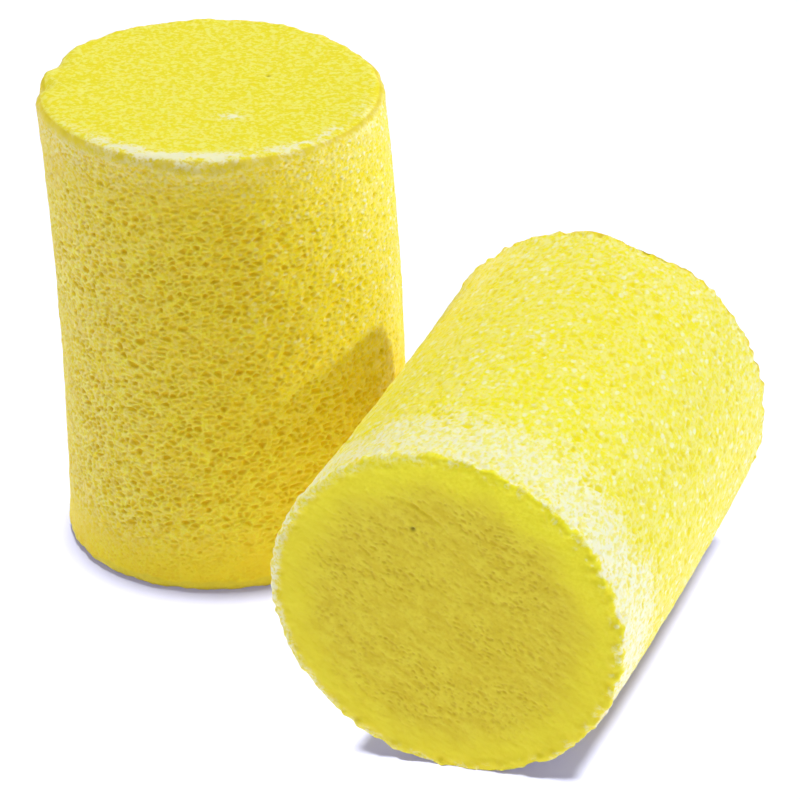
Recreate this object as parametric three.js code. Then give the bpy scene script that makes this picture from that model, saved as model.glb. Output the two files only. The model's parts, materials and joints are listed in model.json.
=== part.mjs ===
// A pair of foam ear plugs, one standing on end and one lying on its side beside it.
// Each plug is one piece, die-cut whole from a sheet of slow-recovery foam, so each is one closed solid.
// Millimetres, +Z up. The origin is the centre of the standing plug's base, and -Y is the front.
import * as THREE from "three";

// Driving dimensions
const PLUG_DIAMETER = 13.5;
const PLUG_LENGTH = 18.6;
const RIM_RADIUS = 0.45; // the cut rounds each end's skin over into the side
const LYING_CENTRE = { x: 10.8, y: -13.6 }; // above this point on the table the lying plug has its middle
const LYING_AZIMUTH = 66.6; // degrees from +X to the lying plug's axis, seen from above

// Fineness of the round surfaces
const SEGMENTS_AROUND = 72; // a multiple of 4, so that the lying plug touches the table along an edge
const RIM_STEPS = 4;

const plugRadius = PLUG_DIAMETER / 2;
const foamYellow = { color: 0xf0dc40, roughness: 0.75, metalness: 0 };

// Half section from the axis at one end, over its rounded rim, along the side and back to the axis.
function plugProfile() {
  const flatRadius = plugRadius - RIM_RADIUS;
  const points = [new THREE.Vector2(0, 0)];
  for (let step = 0; step <= RIM_STEPS; step += 1) {
    const angle = (Math.PI / 2) * (step / RIM_STEPS);
    const outward = flatRadius + RIM_RADIUS * Math.sin(angle);
    points.push(new THREE.Vector2(outward, RIM_RADIUS * (1 - Math.cos(angle))));
  }
  const otherEnd = points.map((point) => new THREE.Vector2(point.x, PLUG_LENGTH - point.y));
  return points.concat(otherEnd.reverse());
}

// A plug about its own Y axis, with its middle at the origin.
function plugGeometry() {
  const geometry = new THREE.LatheGeometry(plugProfile(), SEGMENTS_AROUND);
  geometry.translate(0, -PLUG_LENGTH / 2, 0);
  return geometry;
}

function plug(name) {
  const mesh = new THREE.Mesh(plugGeometry(), new THREE.MeshStandardMaterial(foamYellow));
  mesh.name = name;
  return mesh;
}

const standingPlug = plug("standing_plug");
standingPlug.rotation.x = Math.PI / 2;
standingPlug.position.z = PLUG_LENGTH / 2;

const lyingPlug = plug("lying_plug");
lyingPlug.rotation.z = THREE.MathUtils.degToRad(LYING_AZIMUTH - 90);
lyingPlug.position.set(LYING_CENTRE.x, LYING_CENTRE.y, plugRadius);

const earPlugs = new THREE.Group();
earPlugs.add(standingPlug, lyingPlug);

export default earPlugs;
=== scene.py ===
"""A pair of slow-recovery foam ear plugs, one standing and one lying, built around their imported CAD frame.

Each plug is one closed mesh: two skinned ends, joined by a cut side of open foam cells.
A plug is shaped in its own millimetres, with x and y across it and z along it from 0 to its length.
"""
import itertools
import json
import math

import bpy
import numpy as np
from mathutils import Matrix, Vector


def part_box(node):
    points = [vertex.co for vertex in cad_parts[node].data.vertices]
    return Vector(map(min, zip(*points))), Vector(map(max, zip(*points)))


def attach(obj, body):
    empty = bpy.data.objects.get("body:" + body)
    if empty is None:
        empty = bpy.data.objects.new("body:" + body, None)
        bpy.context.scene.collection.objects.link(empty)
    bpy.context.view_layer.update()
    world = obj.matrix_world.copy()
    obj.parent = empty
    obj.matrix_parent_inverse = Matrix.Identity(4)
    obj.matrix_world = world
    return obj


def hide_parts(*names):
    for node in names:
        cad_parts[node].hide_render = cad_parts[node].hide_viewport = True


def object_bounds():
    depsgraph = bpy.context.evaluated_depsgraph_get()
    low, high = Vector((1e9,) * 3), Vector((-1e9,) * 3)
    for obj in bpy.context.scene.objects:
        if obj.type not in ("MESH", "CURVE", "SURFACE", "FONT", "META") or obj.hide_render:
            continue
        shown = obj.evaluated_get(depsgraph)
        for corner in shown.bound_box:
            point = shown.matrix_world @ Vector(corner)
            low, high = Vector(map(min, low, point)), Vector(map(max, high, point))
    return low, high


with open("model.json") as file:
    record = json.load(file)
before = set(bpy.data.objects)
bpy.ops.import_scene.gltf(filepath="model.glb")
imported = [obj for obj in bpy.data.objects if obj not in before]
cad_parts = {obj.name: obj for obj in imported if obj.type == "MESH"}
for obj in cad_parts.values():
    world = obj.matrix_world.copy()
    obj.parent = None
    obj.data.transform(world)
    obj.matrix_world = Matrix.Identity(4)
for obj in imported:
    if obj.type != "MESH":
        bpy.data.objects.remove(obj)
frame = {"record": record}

MM = 0.001
cad_low, cad_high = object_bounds()

# ---- sizes, from the frame ----

plug_low, plug_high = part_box("standing_plug")
PLUG_LENGTH = (plug_high.z - plug_low.z) / MM
PLUG_RADIUS = (plug_high.x - plug_low.x) / 2 / MM

# ---- the foam, in millimetres ----

CELL_PITCH = (0.31, 0.31, 0.20)       # mean cell half way along the plug, flattened as the sheet rose
CELL_DEPTH = 0.15                     # how deep the knife opened those cells
FINE_PITCH = (0.19, 0.19, 0.14)       # cells by the skins, and small ones in the walls of the others
FINE_DEPTH = 0.08
FINE_BAND = 2.8                       # how far from each end the cells take to reach full size
HOLE_DEPTH = 0.12                     # of the pin holes in the skin
SPECK_FLATTENING = 1.2                # how much shorter specks are along the plug than across it

# ---- mesh steps ----

CAP_RINGS = 128
RIM_STEPS = 7

# ---- random numbers, the same on every run ----

LATTICE = 64
LATTICE_VALUES = np.random.default_rng(20).random((LATTICE, LATTICE, LATTICE, 4))


def lattice(cells):
    """Four random numbers from 0 to 1 for each whole-numbered cell."""
    wrapped = cells % LATTICE
    return LATTICE_VALUES[wrapped[:, 0], wrapped[:, 1], wrapped[:, 2]]


def smoothstep(low, high, value):
    share = np.clip((value - low) / (high - low), 0, 1)
    return share * share * (3 - 2 * share)


def noise(points, pitch, channel=0):
    """Smooth random numbers from -1 to 1 that change over about one pitch, a number or one for each axis."""
    place = points / np.asarray(pitch)
    cell = np.floor(place).astype(int)
    share = place - cell
    share = share * share * (3 - 2 * share)
    total = np.zeros(len(points))
    for corner in itertools.product((0, 1), repeat=3):
        weight = np.where(np.array(corner) == 1, share, 1 - share).prod(axis=1)
        total += weight * lattice(cell + corner)[:, channel]
    return 2 * total - 1


def foam_cells(place, jitter=0.9, spread=0.36):
    """For points in units of a cell, where a cell's own random reach makes it large or small: how far the
    nearest cell wall is, the cell's middle, and a random number of the cell."""
    home = np.floor(place).astype(int)
    steps = [np.array(step) for step in itertools.product((-1, 0, 1), repeat=3)]

    def cell(step):
        """A cell near each point: its random numbers, its middle, and how far away it counts as."""
        values = lattice(home + step)
        middle = home + step + 0.5 + jitter * (values[:, :3] - 0.5)
        return values, middle, ((place - middle) ** 2).sum(axis=1) - spread * values[:, 3] ** 2

    nearest = np.full(len(place), np.inf)
    centre = np.zeros_like(place)
    chance = np.zeros(len(place))
    for step in steps:
        values, middle, reach = cell(step)
        closer = reach < nearest
        nearest[closer] = reach[closer]
        centre[closer] = middle[closer]
        chance[closer] = (values[closer, 0] + values[closer, 3]) % 1
    wall = np.full(len(place), np.inf)
    for step in steps:
        _, middle, reach = cell(step)
        apart = np.sqrt(((middle - centre) ** 2).sum(axis=1))
        other = apart > 1e-6
        wall[other] = np.minimum(wall[other], (reach - nearest)[other] / (2 * apart[other]))
    return wall, centre, chance


# ---- a plug's smooth surface, as rings of points from one end's rim to the other's, and two caps ----


class Surface:
    """Points and outward normals of the smooth plug, its faces, and their bake map."""

    def __init__(self, cap_rings, rim_radius):
        self.rings = cap_rings
        self.columns = 6 * cap_rings
        flat_radius = PLUG_RADIUS - rim_radius
        spacing = flat_radius / cap_rings
        rows = round((PLUG_LENGTH - 2 * rim_radius) / spacing)
        turn = np.linspace(0, math.pi / 2, RIM_STEPS + 1)[:-1]
        along = np.linspace(rim_radius, PLUG_LENGTH - rim_radius, rows + 1)
        radius = np.concatenate([flat_radius + rim_radius * np.sin(turn), np.full(rows + 1, PLUG_RADIUS),
                                 flat_radius + rim_radius * np.sin(turn[::-1])])
        height = np.concatenate([rim_radius * (1 - np.cos(turn)), along,
                                 PLUG_LENGTH - rim_radius * (1 - np.cos(turn[::-1]))])
        slope = np.concatenate([-np.cos(turn), np.zeros(rows + 1), np.cos(turn[::-1])])
        self.tube_rows = len(radius)
        angle = 2 * math.pi * np.arange(self.columns) / self.columns
        outward = np.stack([np.cos(angle), np.sin(angle)], axis=1)
        tube = np.empty((self.tube_rows, self.columns, 3))
        tube[..., :2] = radius[:, None, None] * outward
        tube[..., 2] = height[:, None]
        tube_normal = np.empty_like(tube)
        tube_normal[..., :2] = np.sqrt(1 - slope ** 2)[:, None, None] * outward
        tube_normal[..., 2] = slope[:, None]
        disc = self.disc_points(flat_radius)
        front = np.column_stack([disc, np.zeros(len(disc))])
        back = np.column_stack([disc, np.full(len(disc), PLUG_LENGTH)])
        up = np.tile([0.0, 0.0, 1.0], (len(disc), 1))
        self.points = np.concatenate([front, tube.reshape(-1, 3), back])
        self.normals = np.concatenate([-up, tube_normal.reshape(-1, 3), up])
        self.tube_start = len(disc)
        self.back_start = len(disc) + self.tube_rows * self.columns
        arc = np.concatenate([[0], np.cumsum(np.hypot(np.diff(radius), np.diff(height)))])
        self.make_faces(arc)

    def disc_points(self, flat_radius):
        """Points of the flat disc, less its outermost ring: a middle, then rings of 6, 12, 18 and so on."""
        found = [np.zeros((1, 2))]
        for ring in range(1, self.rings):
            angle = 2 * math.pi * np.arange(6 * ring) / (6 * ring)
            found.append(flat_radius * ring / self.rings * np.stack([np.cos(angle), np.sin(angle)], axis=1))
        return np.concatenate(found)

    def disc_triangles(self, start, outer_start):
        """Triangles between each ring and the next one out, facing up the plug."""
        def ring_index(ring, place):
            if ring == 0:
                return np.full(len(place), start)
            first = outer_start if ring == self.rings else start + 1 + 3 * ring * (ring - 1)
            return first + place % (6 * ring)

        found = []
        for ring in range(1, self.rings + 1):
            side, step = np.divmod(np.arange(6 * ring), ring)
            outer = side * ring + step
            inner = side * (ring - 1) + step
            found.append(np.stack([ring_index(ring, outer), ring_index(ring, outer + 1),
                                   ring_index(ring - 1, inner)], axis=1))
            filled = step < ring - 1
            found.append(np.stack([ring_index(ring - 1, inner), ring_index(ring, outer + 1),
                                   ring_index(ring - 1, inner + 1)], axis=1)[filled])
        return np.concatenate(found)

    def make_faces(self, arc):
        row, column = np.divmod(np.arange((self.tube_rows - 1) * self.columns), self.columns)
        after = (column + 1) % self.columns
        first = self.tube_start + row * self.columns
        second = first + self.columns
        self.quads = np.stack([first + column, first + after, second + after, second + column], axis=1)
        front = self.disc_triangles(0, self.tube_start)[:, ::-1]
        last_ring = self.tube_start + (self.tube_rows - 1) * self.columns
        back = self.disc_triangles(self.back_start, last_ring)
        self.triangles = np.concatenate([front, back])

        # The bake map: the side unrolled along the bottom, and the two ends as discs above it
        margin = 0.006
        scale = (1 - 2 * margin) / (2 * math.pi * PLUG_RADIUS)
        left = margin + scale * PLUG_RADIUS * 2 * math.pi * column / self.columns
        right = left + scale * PLUG_RADIUS * 2 * math.pi / self.columns
        low = margin + scale * arc[row]
        high = margin + scale * arc[row + 1]
        side_map = np.stack([left, low, right, low, right, high, left, high], axis=1).reshape(-1, 2)
        disc_radius = scale * PLUG_RADIUS
        across = self.points[:, :2] * scale
        floor = 3 * margin + scale * arc[-1] + disc_radius
        front_map = across[front.ravel()] * [1, -1] + [margin + disc_radius, floor]
        back_map = across[back.ravel()] + [3 * margin + 3 * disc_radius, floor]
        self.bake_map = np.concatenate([side_map, front_map, back_map])


# ---- relief, in millimetres below the smooth surface ----


def opened_cells(points, pitch):
    """Cells cut open at the surface: (how far down a bowl, 0 at its walls, their crests, a random number)."""
    place = points / pitch
    place += 0.75 * np.column_stack([noise(place, (5, 5, 9), channel) for channel in (0, 1, 2)])
    place += 0.17 * np.column_stack([noise(place, 1.7, channel) for channel in (1, 2, 0)])
    wall, centre, chance = foam_cells(place)
    below = np.hypot(place[:, 0], place[:, 1]) - np.hypot(centre[:, 0], centre[:, 1])
    deep = np.clip(0.72 + 0.65 * below, 0.25, 1.2)
    bowl = smoothstep(0.02, 0.36, wall)
    return deep * bowl, 1 - smoothstep(0.0, 0.20, wall), chance


def side_relief(points, calm, stretch):
    """Open cells of the cut side: (depth, how far into a cell from 0 to 1, wall crests, a random number).
    Where calm nears 1 the knife has smeared the cells almost shut. Stretch draws them out along the plug."""
    drawn = np.array([1, 1, stretch])
    from_end = np.minimum(points[:, 2], PLUG_LENGTH - points[:, 2])
    large = smoothstep(0.2, FINE_BAND, from_end + 0.7 * noise(points, 1.3, 2))
    pit, crest, chance = opened_cells(points, CELL_PITCH * drawn)
    fine_pit, fine_crest, _ = opened_cells(points + 31.7, FINE_PITCH * drawn)
    small = fine_pit * (1 - 0.75 * large)
    cut = 1 - 0.8 * calm
    depth = cut * (CELL_DEPTH * large * pit * (0.45 + 0.65 * chance) + FINE_DEPTH * small)
    depth += 0.022 * noise(points, 0.8, 0) + 0.022 * noise(points, 0.3, 1)
    pit = (1 - 0.2 * calm) * np.maximum(large * pit, 0.8 * small)
    crest = cut * np.maximum(large * crest, (1 - large) * fine_crest)
    crest *= smoothstep(-0.5, 0.4, noise(points, 0.24, 3))
    return depth, pit, crest, chance


def pores(flat, pitch, share, length):
    """Small round-ended holes, drawn out along the first direction: how far into one, from 0 to 1."""
    place = np.column_stack([flat / pitch, np.full(len(flat), 0.5)])
    home = np.floor(place).astype(int)
    found = np.zeros(len(flat))
    for step in itertools.product((-1, 0, 1), (-1, 0, 1), (0,)):
        values = lattice(home + step)
        middle = home + step + 0.5 + 0.8 * (values[:, :3] - 0.5)
        reach = length * (0.45 + 0.75 * values[:, 3])
        away = np.hypot(*(place - middle)[:, :2].T) / reach
        made = values[:, 2] < share
        found = np.maximum(found, (1 - smoothstep(0.35, 1.0, away)) * made)
    return found


def end_relief(points, pores_along, pore_share):
    """Skin of an end, with pores drawn out along one direction: (depth, how far into a pore, streaks)."""
    turn = np.array([[math.cos(pores_along), -math.sin(pores_along)],
                     [math.sin(pores_along), math.cos(pores_along)]])
    flat = points[:, :2] @ turn
    level = np.column_stack([flat, points[:, 2] * 0])
    streak = 0.6 * noise(level, (0.60, 0.20, 1), 0) + 0.5 * noise(level + 3, (0.24, 0.09, 1), 2)
    grain = noise(level + 5, (0.15, 0.15, 1), 1)
    pore = np.maximum(pores(flat, (0.34, 0.17), 0.70 * pore_share, 0.34),
                      0.8 * pores(flat + 40, (0.52, 0.26), 0.45 * pore_share, 0.36))
    pore = np.maximum(pore, 0.6 * pores(flat + 17, (0.22, 0.11), 0.80 * pore_share, 0.36))
    crowded = 0.50 + 0.50 * smoothstep(-0.35, 0.30, noise(level + 9, (1.9, 0.8, 1), 2) + 0.1)
    pore *= crowded * (1 - smoothstep(0.62, 0.93, np.hypot(points[:, 0], points[:, 1]) / PLUG_RADIUS))
    drawn_out = min(1.0, 2 * pore_share)
    depth = 0.05 * pore + 0.010 * streak * drawn_out + 0.009 * grain
    return depth, pore, streak * drawn_out


# ---- building a plug ----


def towards(points, direction, spread):
    """1 on the side of the plug facing a direction in degrees from its x axis, falling off by the spread."""
    angle = np.arctan2(points[:, 1], points[:, 0]) - math.radians(direction)
    return np.exp(-(np.angle(np.exp(1j * angle)) / math.radians(spread)) ** 2)


def near(points, place, reach):
    """1 at a place, falling off by the reach, a number or one for each axis."""
    return np.exp(-(((points - place) / reach) ** 2).sum(axis=1))


def foam_mesh(name, rim_radius, traits, bend, place):
    """A plug's mesh. bend gives its gentle overall shape in its own millimetres, place puts it in the frame,
    and traits(points, from_end, radius) gives what sets this plug apart, as one number or one for each point:

    lip          how far along the side the skin of the ends reaches, and blend how softly it stops there
    calm         from 0 to 1, how far the knife has smeared the cells shut
    stretch      how much longer the cells and specks are along the plug
    spotty       from 0 to 1, how far about half of the cells lose their darker colour
    pores_along  the direction in which an end's pores are drawn out, and pore_share how many there are
    dent, holes  how deep dents are in millimetres, and pin holes in the skin, up to 1 at their middle
    ragged       how uneven the rim is, in millimetres
    pale         how far the foam is made paler, by whiter foam and by painted highlights and sheen
    glow         how far it takes the lighter, greener yellow of painted light
    film         how much of it has painted glints on the cut side, or pale speckles on an end
    """
    surface = Surface(CAP_RINGS, rim_radius)
    points, normals = surface.points, surface.normals
    from_end = np.minimum(points[:, 2], PLUG_LENGTH - points[:, 2])
    radius = np.hypot(points[:, 0], points[:, 1])
    own = traits(points, from_end, radius)
    flat_radius = PLUG_RADIUS - rim_radius
    side = smoothstep(-own["blend"], own["blend"], from_end - own["lip"])
    side *= smoothstep(flat_radius - 0.25, flat_radius + 0.05, radius)
    cells, pit, crest, chance = side_relief(points, own["calm"], own["stretch"])
    pit *= 1 - own["spotty"] * (1 - smoothstep(0.35, 0.65, chance))
    skin_depth, pore, streak = end_relief(points, own["pores_along"], own["pore_share"])
    depth = side * cells + (1 - side) * (skin_depth + HOLE_DEPTH * own["holes"]) + own["dent"]
    rim = smoothstep(PLUG_RADIUS - 0.8, PLUG_RADIUS - 0.1, radius) * (1 - smoothstep(0.3, 1.2, from_end))
    depth += rim * (0.05 * noise(points, (0.8, 0.8, 2.0), 0) + own["ragged"] * noise(points, 0.26, 1))
    shaped = bend(points - depth[:, None] * normals)

    mesh = bpy.data.meshes.new(name)
    mesh.from_pydata(place(shaped) * MM, [], surface.quads.tolist() + surface.triangles.tolist())
    mesh.polygons.foreach_set("use_smooth", np.ones(len(mesh.polygons), bool))
    mesh.uv_layers.new(name="OFBake").data.foreach_set("uv", surface.bake_map.astype(np.float32).ravel())
    marks = {"pit": side * pit, "crest": side * crest, "skin": 1 - side, "pore": (1 - side) * pore,
             "streak": streak, "chance": chance, "pale": own["pale"], "glow": own["glow"],
             "speckle_and_painted_glint": own["speckle_and_painted_glint"], "hole": own["holes"]}
    for mark, values in marks.items():
        mesh.attributes.new(mark, "FLOAT", "POINT").data.foreach_set("value", values.astype(np.float32))
    spot = points * [1, 1, SPECK_FLATTENING / own["stretch"]] * MM
    spots = mesh.attributes.new("spot", "FLOAT_VECTOR", "POINT").data
    spots.foreach_set("vector", spot.astype(np.float32).ravel())
    mesh.update()
    return mesh


def foam_piece(name, mesh, node, body, material):
    """The object that shows a mesh in place of a CAD node, on its body."""
    piece = bpy.data.objects.new(name, mesh)
    bpy.context.scene.collection.objects.link(piece)
    mesh.materials.append(material)
    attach(piece, body)
    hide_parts(node)
    return piece


# ---- material ----


class Nodes:
    """A material's node tree, with short calls for the nodes used here."""

    def __init__(self, name):
        self.material = bpy.data.materials.new(name)
        self.material.use_nodes = True
        self.tree = self.material.node_tree
        self.shader = self.tree.nodes["Principled BSDF"]

    def add(self, kind, **settings):
        node = self.tree.nodes.new(kind)
        for name, value in settings.items():
            setattr(node, name, value)
        return node

    def feed(self, socket, value):
        if isinstance(value, bpy.types.NodeSocket):
            self.tree.links.new(value, socket)
        else:
            socket.default_value = value

    def mark(self, name):
        return self.add("ShaderNodeAttribute", attribute_name=name).outputs["Fac"]

    def math(self, operation, *values):
        node = self.add("ShaderNodeMath", operation=operation)
        for socket, value in zip(node.inputs, values):
            self.feed(socket, value)
        return node.outputs[0]

    def mix(self, share, first, second):
        node = self.add("ShaderNodeMix", data_type="RGBA", clamp_factor=True)
        self.feed(node.inputs["Factor"], share)
        self.feed(node.inputs["A"], first)
        self.feed(node.inputs["B"], second)
        return node.outputs["Result"]

    def noise(self, scale, detail, place):
        node = self.add("ShaderNodeTexNoise")
        node.inputs["Scale"].default_value = scale
        node.inputs["Detail"].default_value = detail
        self.feed(node.inputs["Vector"], place)
        return node.outputs["Fac"]

    def ramp(self, value, low, high, to_low=0.0, to_high=1.0):
        node = self.add("ShaderNodeMapRange")
        for name, number in (("From Min", low), ("From Max", high), ("To Min", to_low), ("To Max", to_high)):
            node.inputs[name].default_value = number
        self.feed(node.inputs["Value"], value)
        return node.outputs["Result"]


def foam_material():
    """Yellow foam, coloured and roughened by the marks that foam_mesh puts on its points."""
    n = Nodes("yellow_foam")
    place = n.add("ShaderNodeAttribute", attribute_name="spot").outputs["Vector"]
    pit, crest, skin, pore, hole = [n.mark(name) for name in ("pit", "crest", "skin", "pore", "hole")]
    streak, chance, pale, glow, speckle_and_painted_glint = [n.mark(name) for name in ("streak", "chance", "pale", "glow", "speckle_and_painted_glint")]
    cloud = n.noise(700, 3, place)
    speck = n.noise(8000, 2, place)
    grain = n.noise(17000, 1, place)
    mottle = n.math("ADD", n.math("MULTIPLY", speck, 0.55), n.math("MULTIPLY", n.noise(4600, 1, place), 0.45))

    # The cut side: crests of the walls paler than the flesh, and cells darker with painted shade in their
    # hollows, more in some cells than in others
    flesh = n.mix(n.ramp(cloud, 0.35, 0.65), (0.93, 0.73, 0.012, 1), (0.91, 0.68, 0.009, 1))
    # glow paints light here: where it falls, the flesh takes a lighter, greener yellow
    flesh = n.mix(glow, flesh, (0.96, 0.86, 0.014, 1))
    side = n.mix(n.math("MULTIPLY", crest, n.ramp(grain, 0.35, 0.6, 0.3, 0.9)), flesh, (0.96, 0.86, 0.034, 1))
    # The cells' painted shade is orange, and more yellow where glow paints light
    pit_shade_colour = n.mix(glow, (0.87, 0.60, 0.006, 1), (0.91, 0.79, 0.004, 1))
    deep = n.math("MULTIPLY", pit, n.ramp(chance, 0.1, 0.9, 0.25, 1.3))
    side = n.mix(deep, side, pit_shade_colour)

    # The skin of the ends: streaks, a bright ring of painted light glowing through the rim where glow is,
    # pale speckles, and pores and holes darkened with painted shade
    drawn = n.math("ADD", streak, n.ramp(mottle, 0.35, 0.65, -0.35, 0.35))
    end = n.mix(n.ramp(drawn, -0.6, 0.6), (0.85, 0.71, 0.034, 1), (0.77, 0.60, 0.016, 1))
    bright = n.mix(n.ramp(mottle, 0.40, 0.60), (0.93, 0.82, 0.012, 1), (1.0, 0.90, 0.026, 1))
    end = n.mix(glow, end, bright)
    speckle = n.math("MULTIPLY", speckle_and_painted_glint, n.ramp(mottle, 0.46, 0.60))
    end = n.mix(speckle, end, (0.98, 0.92, 0.22, 1))
    # Painted shade in the pores and the pin hole
    end = n.mix(n.math("MULTIPLY", pore, 0.62), end, (0.66, 0.45, 0.015, 1))
    end = n.mix(hole, end, (0.30, 0.22, 0.02, 1))
    colour = n.mix(skin, side, end)

    # Paler foam, partly whiter foam and partly painted highlight and sheen: mottled, but less so where it is
    # strong, and fading out inside the cells
    wall = n.math("MAXIMUM", n.math("SUBTRACT", 1.0, n.math("MULTIPLY", deep, 1.25)), 0.0)
    mottled = n.math("MULTIPLY", pale, n.ramp(mottle, 0.42, 0.58, 0.05, 1.9))
    even = n.ramp(pale, 0.25, 0.75, 0.0, 0.5)
    uneven = n.math("SUBTRACT", 1.0, even)
    share = n.math("ADD", n.math("MULTIPLY", mottled, uneven), n.math("MULTIPLY", pale, even))
    whitening_and_painted_sheen = n.math("MULTIPLY", share, wall)
    colour = n.mix(whitening_and_painted_sheen, colour, (0.97, 0.94, 0.64, 1))

    # Round painted glints on the cut side's walls: a near-white painted highlight, on spots that are smoother
    # than the rest
    beads = n.add("ShaderNodeTexVoronoi")
    beads.inputs["Scale"].default_value = 3300
    n.feed(beads.inputs["Vector"], place)
    size = n.ramp(n.noise(2300, 0, place), 0.35, 0.65, -0.12, 0.12)
    bead = n.ramp(n.math("SUBTRACT", beads.outputs["Distance"], size), 0.13, 0.32, 1.0, 0.0)
    bare = n.math("MULTIPLY", n.math("SUBTRACT", 1.0, skin), wall)
    painted_glint = n.math("MULTIPLY", n.math("MULTIPLY", speckle_and_painted_glint, bare), bead)
    colour = n.mix(painted_glint, colour, (1.0, 1.0, 0.74, 1))
    n.feed(n.shader.inputs["Base Color"], colour)

    rough = n.mix(painted_glint, (0.50, 0.50, 0.50, 1), (0.27, 0.27, 0.27, 1))
    n.feed(n.shader.inputs["Roughness"], rough)

    # Relief finer than the mesh
    relief = n.math("ADD", n.math("MULTIPLY", speck, 0.75), n.math("MULTIPLY", grain, 0.25))
    relief = n.math("MULTIPLY", relief, n.ramp(skin, 0, 1, 1.0, 0.35))
    relief = n.math("ADD", relief, n.math("MULTIPLY", painted_glint, 0.35))
    bump = n.add("ShaderNodeBump")
    bump.inputs["Strength"].default_value = 0.8
    bump.inputs["Distance"].default_value = 0.055 * MM
    n.feed(bump.inputs["Height"], relief)
    n.feed(n.shader.inputs["Normal"], bump.outputs["Normal"])

    n.shader.inputs["Subsurface Weight"].default_value = 0.30
    n.shader.inputs["Subsurface Radius"].default_value = (1.0, 0.75, 0.12)
    n.shader.inputs["Subsurface Scale"].default_value = 0.45 * MM
    n.shader.inputs["Specular IOR Level"].default_value = 0.22
    return n.material


# ---- the two plugs ----

foam = foam_material()


def standing_traits(points, from_end, radius):
    """The upper end's skin folds over the rim at the front, under a painted highlight. The side's right has
    painted key light down to a painted shadow, its left painted sheen.
    """
    upper = smoothstep(0.5, 0.6, points[:, 2] / PLUG_LENGTH)
    lip = 0.40 + 0.22 * noise(points, (1.1, 1.1, 2.5), 3) + 0.08 * noise(points, 0.3, 2)
    lip += 0.35 * upper * towards(points, 262, 20)
    # A painted highlight along the front of the top rim, broken into patches
    painted_rim_highlight = np.exp(-((radius - PLUG_RADIUS + 0.44) / 0.30) ** 2) * upper * (1 - smoothstep(0.1, 0.5, from_end))
    patches = noise(points, (0.7, 0.4, 1), 1) + 0.6 * noise(points, 0.25, 0)
    broken = 0.12 + 0.88 * smoothstep(-0.40, 0.15, patches)
    streak = painted_rim_highlight * broken * (towards(points, 256, 29) + 0.35 * towards(points, 312, 26))
    spot = near(points, (0.73, -2.74, PLUG_LENGTH), (0.5, 0.28, 0.4))
    below_rim = upper * smoothstep(0.1, 0.5, from_end) * (1 - smoothstep(0.6, 2.0, from_end))
    # Painted sheen down the left side
    left_painted_sheen = towards(points, 195, 50) * smoothstep(0.2, 0.5, from_end) * smoothstep(0.5, 3.0, points[:, 2])
    # Painted key light on the right side, paler, greener and glinting, fading low down into the more orange
    # painted shadow of the lying plug
    above_painted_shadow = 0.10 + 0.90 * smoothstep(3.8, 10.0, points[:, 2] + 1.2 * noise(points, 2.2, 0))
    painted_lit_side = towards(points, 338, 48) * smoothstep(0.1, 0.4, from_end) * above_painted_shadow
    pale = 2.2 * streak + 0.7 * spot + 0.10 * below_rim + 0.17 * left_painted_sheen + 0.22 * painted_lit_side
    calm = 0.55 * (1 - upper) * (1 - smoothstep(0.6, 3.2, from_end + 0.6 * noise(points, 1.5, 1)))
    dent = 0.30 * near(points, (-6.55, 0.85, PLUG_LENGTH), (0.5, 0.55, 0.5))
    dent += 0.22 * near(points, (-5.95, 2.9, PLUG_LENGTH), (0.5, 0.7, 0.45))
    dent -= 0.09 * upper * towards(points, 262, 24) * np.exp(-((from_end - lip + 0.25) / 0.22) ** 2)
    on_end = from_end < 0.05
    # glow paints light on the top end and on the right side; film paints glints on the right side above the
    # painted shadow, and pale speckles on the ends
    return {"lip": lip, "blend": 0.07, "calm": calm, "stretch": 1.0, "spotty": 0.0,
            "pores_along": 0.0, "pore_share": 0.0, "dent": dent,
            "holes": 0.6 * near(points, (2.32, 0.93, PLUG_LENGTH), 0.08),
            "ragged": 0.035, "pale": np.clip(pale, 0, 2.0),
            "glow": np.where(on_end, 0.80 * upper, painted_lit_side),
            "speckle_and_painted_glint": np.where(on_end, 0.8, painted_lit_side * smoothstep(7.5, 11.0, points[:, 2]))}


def standing_bend(points):
    """Stood up after squeezing: it leans and bows a little to the right, and its top is a little askew."""
    lean, bow, askew = 0.40, 0.25, 0.074
    x, y, z = points.T
    height = z / PLUG_LENGTH
    centred = 2 * height - 1
    x_shift = lean * height + bow * (1 - centred ** 2)
    z_shift = -askew * x * np.maximum(centred, 0) ** 2
    return np.column_stack([x + x_shift, y, np.maximum(z + z_shift, 0)])


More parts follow.
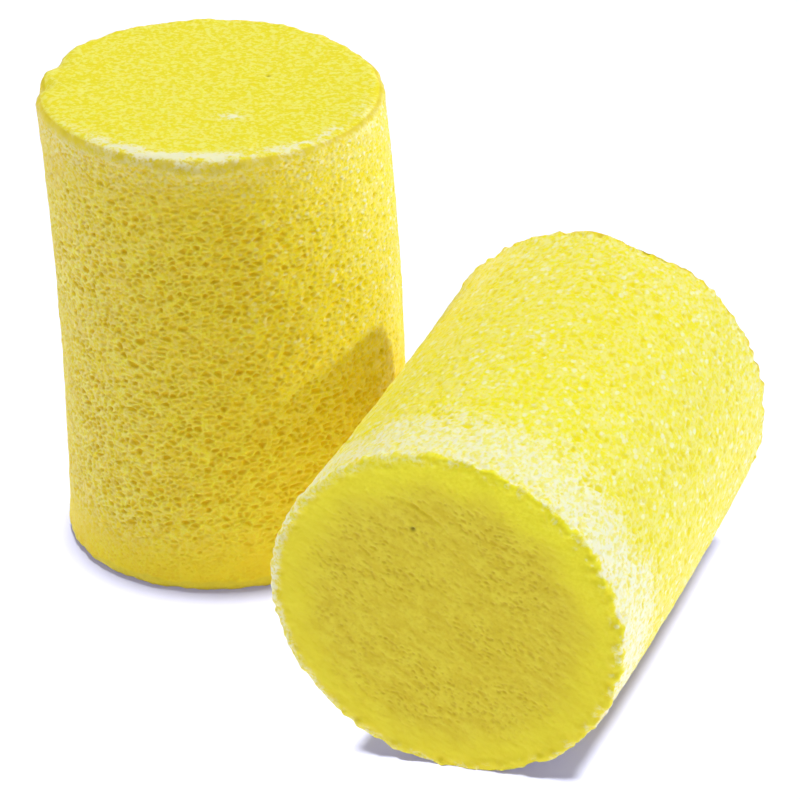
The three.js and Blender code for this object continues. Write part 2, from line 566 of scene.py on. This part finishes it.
def lying_traits(points, from_end, radius):
    """Pale, finely cut foam behind both ends with painted sheen and glints, and a pored front end with a
    bright rim of painted light, crease and hole.
    """
    front = 1 - smoothstep(0.4, 0.6, points[:, 2] / PLUG_LENGTH)
    lip = np.maximum(0.16 + 0.10 * noise(points, 0.8, 3) + 0.34 * noise(points, 0.21, 2), 0.02)
    band = 1 - smoothstep(1.9, 4.4, from_end + 0.8 * noise(points, (2.0, 2.0, 1.2), 1))
    sided = smoothstep(-0.12, 0.16, from_end - lip)
    sided *= smoothstep(PLUG_RADIUS - 0.5, PLUG_RADIUS - 0.15, radius)
    # Painted sheen on the left of the front rim
    painted_rim_sheen = smoothstep(PLUG_RADIUS - 0.5, PLUG_RADIUS - 0.1, radius) * towards(points, 5, 50)
    # Paler bands behind both ends, with painted sheen added towards the right
    banded = (0.05 + (0.46 + 0.17 * towards(points, 175, 45)) * front) * band
    pale = sided * (0.18 + banded) + 0.5 * painted_rim_sheen * (1 - sided)
    # A ring of painted light glowing through the front end's rim, strongest at the top right
    ring = smoothstep(0.66, 0.90, radius / PLUG_RADIUS + 0.05 * noise(points, 1.1, 0))
    # Painted light on the cut side, less of it low on the right as painted shade
    painted_side_light = sided * (0.85 - 0.40 * towards(points, 228, 40))
    glow = np.maximum(front * ring * (0.46 + 0.54 * towards(points, 118, 75)), painted_side_light)
    across, up = points[:, 0] - 0.5, points[:, 1] - 4.45
    crease = np.exp(-((up - 0.66 * across + 0.20 * across ** 2) / 0.11) ** 2)
    crease *= near(points, (0.5, 4.5, 0), (1.0, 1.2, 0.3))
    dent = 0.22 * near(points, (-2.5, 6.3, PLUG_LENGTH), (1.5, 0.9, 0.9)) + 0.07 * crease
    # film paints glints on the cut side
    return {"lip": lip, "blend": 0.13, "calm": 0.62, "stretch": 1.8, "spotty": 0.85,
            "pores_along": math.radians(35), "pore_share": 0.75, "dent": dent,
            "holes": near(points, (0.87, 3.59, 0), 0.085),
            "ragged": 0.09, "pale": np.clip(pale, 0, 1), "glow": glow, "speckle_and_painted_glint": 0.55 * sided}


def lying_bend(points):
    """Fatter at the front than at the back, bowed to one side, with the front end's top leaning forward."""
    swell, bow, lean_side, lean_top = 0.018, -0.18, 0.023, -0.072
    x, y, z = points.T
    centred = 2 * z / PLUG_LENGTH - 1
    front = np.maximum(-centred, 0) ** 2
    swollen = 1 - swell * centred
    z_shift = (lean_side * x + lean_top * y) * front
    y_out = np.maximum(y * swollen, -PLUG_RADIUS)
    return np.column_stack([x * swollen + bow * (1 - centred ** 2), y_out, z + z_shift])


def standing_place(points):
    return points


front_end = next(m for m in frame["record"]["mounts"] if m["name"] == "lying_front_end")
lying_axis = -Vector(front_end["axis"])
lying_side = Vector((0, 0, 1)).cross(lying_axis)
lying_origin = np.array(front_end["pos_m"]) / MM


def lying_place(points):
    return lying_origin + points @ np.array([lying_side, (0, 0, 1), lying_axis])


standing_mesh = foam_mesh("standing_foam_plug", 0.42, standing_traits, standing_bend, standing_place)
standing = foam_piece("standing_foam_plug", standing_mesh, "standing_plug", "standing", foam)
lying_mesh = foam_mesh("lying_foam_plug", 0.20, lying_traits, lying_bend, lying_place)
lying = foam_piece("lying_foam_plug", lying_mesh, "lying_plug", "lying", foam)

# ---- floor, light and camera ----

FLOOR_REACH = 3.0


def floor_material():
    """White once its sun is on it, and the violet grey of its own faint glow in a shadow."""
    n = Nodes("white_floor")
    n.shader.inputs["Base Color"].default_value = (0.45, 0.465, 0.56, 1)
    n.shader.inputs["Roughness"].default_value = 0.9
    n.shader.inputs["Specular IOR Level"].default_value = 0.0
    n.shader.inputs["Emission Color"].default_value = (0.55, 0.52, 1.0, 1)
    n.shader.inputs["Emission Strength"].default_value = 0.25
    return n.material


def make_floor(name, nearest, farthest, material):
    """A strip of the floor along the lying plug, between two distances to the left of its middle."""
    reach = FLOOR_REACH
    middle = Vector((front_end["pos_m"][0], front_end["pos_m"][1], 0))
    edges = [middle + nearest * lying_side, middle + farthest * lying_side]
    corners = [edges[0] - reach * lying_axis, edges[0] + reach * lying_axis,
               edges[1] + reach * lying_axis, edges[1] - reach * lying_axis]
    mesh = bpy.data.meshes.new(name)
    mesh.from_pydata(corners, [], [(0, 1, 2, 3)])
    mesh.materials.append(material)
    floor = bpy.data.objects.new(name, mesh)
    bpy.context.scene.collection.objects.link(floor)
    return floor


def link_light(lamp, shines_on, shaded_by=None):
    """The lamp shines on the given objects alone, and with shaded_by only those objects cast its shadow."""
    lit = bpy.data.collections.new(lamp.name + "_lit")
    for piece in shines_on:
        lit.objects.link(piece)
    lamp.light_linking.receiver_collection = lit
    if shaded_by is not None:
        shading = bpy.data.collections.new(lamp.name + "_shading")
        for piece in shaded_by:
            shading.objects.link(piece)
        lamp.light_linking.blocker_collection = shading


def make_lamp(name, kind, direction, colour):
    """A lamp turned to shine from a direction."""
    data = bpy.data.lights.new(name, kind)
    data.color = colour
    lamp = bpy.data.objects.new(name, data)
    bpy.context.scene.collection.objects.link(lamp)
    lamp.rotation_euler = Vector(direction).to_track_quat("Z", "Y").to_euler()
    return lamp


def make_light(name, direction, distance, size, watts, shines_on, colour=(1, 1, 1)):
    """A square soft light, aimed at the middle of the plugs."""
    lamp = make_lamp(name, "AREA", direction, colour)
    lamp.data.size = size
    lamp.data.energy = watts
    lamp.location = (cad_low + cad_high) / 2 + Vector(direction).normalized() * distance
    link_light(lamp, shines_on)


def make_sun(name, direction, spread_degrees, strength, shines_on, shaded_by, colour=(1, 1, 1)):
    """An even light from very far away."""
    lamp = make_lamp(name, "SUN", direction, colour)
    lamp.data.energy = strength
    lamp.data.angle = math.radians(spread_degrees)
    link_light(lamp, [shines_on], [shaded_by])


def make_world():
    """An even white surround, brightest at the horizon, where it meets the floor."""
    world = bpy.data.worlds.new("studio")
    bpy.context.scene.world = world
    world.use_nodes = True
    tree = world.node_tree
    sky = tree.nodes["Background"]
    sky.inputs["Color"].default_value = (1, 1, 1, 1)
    place = tree.nodes.new("ShaderNodeTexCoord")
    split = tree.nodes.new("ShaderNodeSeparateXYZ")
    fade = tree.nodes.new("ShaderNodeMapRange")
    tree.links.new(place.outputs["Generated"], split.inputs[0])
    tree.links.new(split.outputs["Z"], fade.inputs["Value"])
    for name, number in (("From Min", 0.05), ("From Max", 0.22), ("To Min", 1.0), ("To Max", 0.24)):
        fade.inputs[name].default_value = number
    tree.links.new(fade.outputs["Result"], sky.inputs["Strength"])


def make_camera():
    """A long lens in front of the standing plug, looking down at both plugs."""
    distance, elevation = 0.2716, math.radians(28.4)
    yaw, pitch, roll = math.radians(1.62), math.radians(27.6), math.radians(-4.71)
    data = bpy.data.cameras.new("camera")
    data.lens = 306
    data.sensor_width = 36
    data.clip_start = 0.01
    camera = bpy.data.objects.new("camera", data)
    bpy.context.scene.collection.objects.link(camera)
    camera.location = (0, -distance * math.cos(elevation), distance * math.sin(elevation))
    ahead = Vector((math.sin(yaw) * math.cos(pitch), math.cos(yaw) * math.cos(pitch), -math.sin(pitch)))
    level = Vector((math.cos(yaw), -math.sin(yaw), 0))
    upright = level.cross(ahead)
    right = math.cos(roll) * level + math.sin(roll) * upright
    above = math.cos(roll) * upright - math.sin(roll) * level
    camera.rotation_euler = Matrix((right, above, -ahead)).transposed().to_euler()
    bpy.context.scene.camera = camera


# The floor is three strips in one plane, so that each has a sun, and a shadow, of its own
white = floor_material()
between = 7.65 * MM  # half way between the plugs, from the lying plug's middle
standing_floor = make_floor("standing_floor", between, FLOOR_REACH, white)
left_floor = make_floor("left_floor", 0.0, between, white)
right_floor = make_floor("right_floor", -FLOOR_REACH, 0.0, white)
make_world()
plugs = [standing, lying]
make_light("key", (0.885, 0.062, 0.462), 0.6, 0.03, 1.68, plugs, (0.95, 1.0, 0.91))
make_light("overhead", (-0.38, 0.35, 1.0), 0.7, 0.30, 2.6, plugs, (1.0, 1.0, 0.97))
make_light("fill", (-0.9, -0.1, 0.25), 0.7, 0.40, 0.12, plugs)
make_light("front", (-0.25, -0.8, 0.9), 0.6, 0.25, 0.25, [lying])
make_sun("glow_between", (0.95, -0.30, 0.10), 30, 0.40, standing, standing, (1.0, 0.58, 0.06))
make_sun("behind_standing", (0.015, 0.025, 1.0), 5, 5.45, standing_floor, standing)
upright = Vector((0, 0, 1)) - 0.13 * lying_axis
make_sun("left_of_lying", upright + 0.5 * lying_side, 8, 5.95, left_floor, lying)
make_sun("right_of_lying", upright - 0.47 * lying_side, 8, 5.9, right_floor, lying)
make_camera()
bpy.context.scene.view_settings.view_transform = "Standard"
